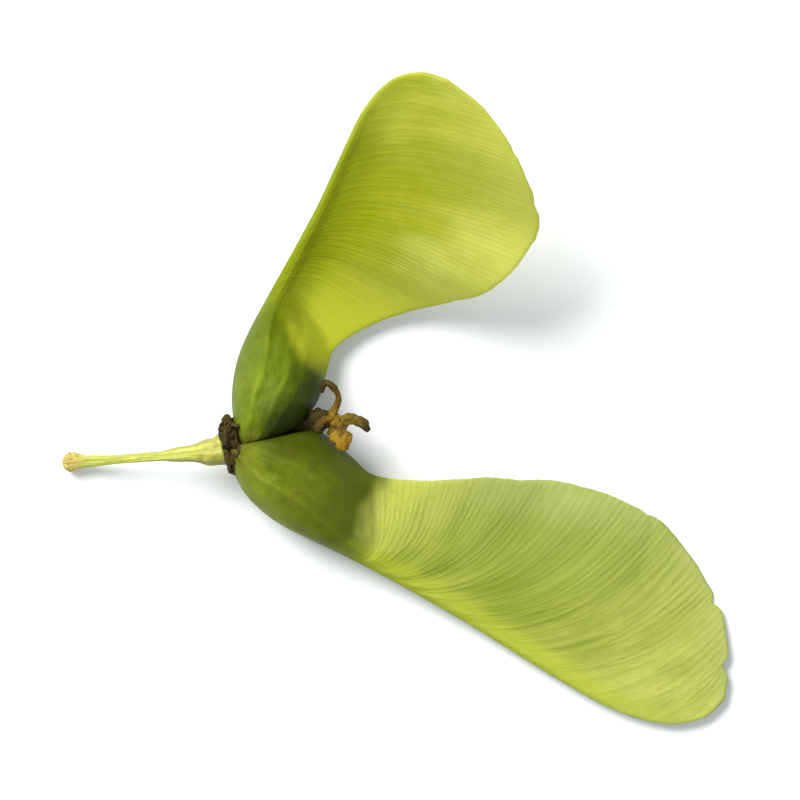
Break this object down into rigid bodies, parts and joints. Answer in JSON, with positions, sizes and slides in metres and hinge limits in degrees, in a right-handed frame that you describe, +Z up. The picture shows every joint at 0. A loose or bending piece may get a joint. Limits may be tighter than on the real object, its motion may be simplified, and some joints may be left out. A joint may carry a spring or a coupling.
{
  "type": "maple samara",
  "caption": "Paired samara of a trident maple on its stalk: plump green nutlets with broad veined wings, lying down with a wing raised.",
  "frame": {"origin": "centre of the bounding box on the surface that the samara lies on", "axes": "+Z up from the surface, +X away from the stalk's torn end, +Y towards the raised wing's side"},
  "size_m": [0.0288, 0.0278, 0.0114],
  "materials": {
    "lower_fruit": "satin green nutlet and pale papery wing",
    "upper_fruit": "satin green nutlet and olive papery wing",
    "stalk": "satin",
    "calyx": "matte, withered",
    "style": "matte, withered"
  },
  "bodies": {
    "root": {"mericarp_lower": "lower_fruit", "mericarp_upper": "upper_fruit", "pedicel": "stalk", "calyx_ring": "calyx", "style_remnant": "style"}
  },
  "joints": []
}
